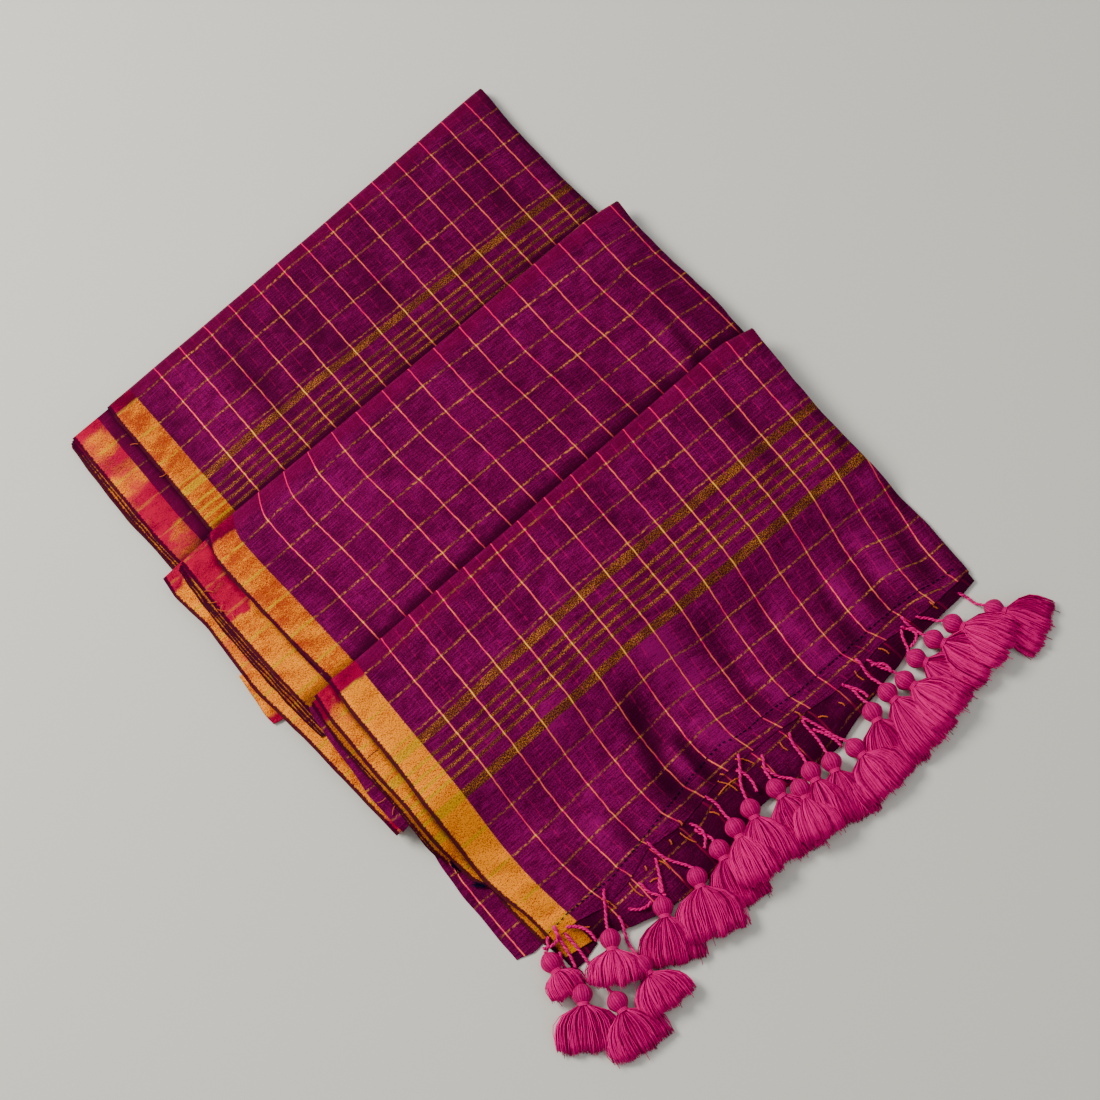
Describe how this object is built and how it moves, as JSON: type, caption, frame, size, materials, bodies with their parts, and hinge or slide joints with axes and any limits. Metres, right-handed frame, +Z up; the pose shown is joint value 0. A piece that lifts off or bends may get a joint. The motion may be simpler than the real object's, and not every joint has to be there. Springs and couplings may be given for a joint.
{
  "type": "folded saree",
  "caption": "Handloom saree folded flat in three overlapping stretches, with a gold border, a checked body and a row of knotted tassels along its end.",
  "frame": {"origin": "centre of the bounding box, on the surface that the cloth rests on", "axes": "+Z up; the tassels hang out towards -Y and +X; the weft runs 41.5 degrees anticlockwise from +X"},
  "size_m": [0.5535, 0.5789, 0.018],
  "materials": {
    "body": "slubbed silk-cotton in magenta and purple with gold checks",
    "border": "woven metallic thread in gold and orange",
    "pile": "folded silk-cotton in dark purple",
    "tassel": "bright pink embroidery thread"
  },
  "bodies": {
    "root": {"hidden_layers": "pile", "stretch_back": "body", "stretch_middle": "body", "stretch_front": "body", "under_back": "border", "under_middle": "border", "under_front": "border", "lower_middle": "border", "lower_front": "body", "end_lower": "body", "end_tongue": "border", "tassel_01": "tassel", "tassel_02": "tassel", "tassel_03": "tassel", "tassel_04": "tassel", "tassel_05": "tassel", "tassel_06": "tassel", "tassel_07": "tassel", "tassel_08": "tassel", "tassel_09": "tassel", "tassel_10": "tassel", "tassel_11": "tassel", "tassel_12": "tassel", "tassel_13": "tassel", "tassel_14": "tassel", "tassel_15": "tassel", "tassel_16": "tassel", "tassel_17": "tassel", "tassel_18": "tassel", "tassel_19": "tassel", "tassel_20": "tassel", "tassel_21": "tassel", "tassel_22": "tassel"}
  },
  "joints": []
}
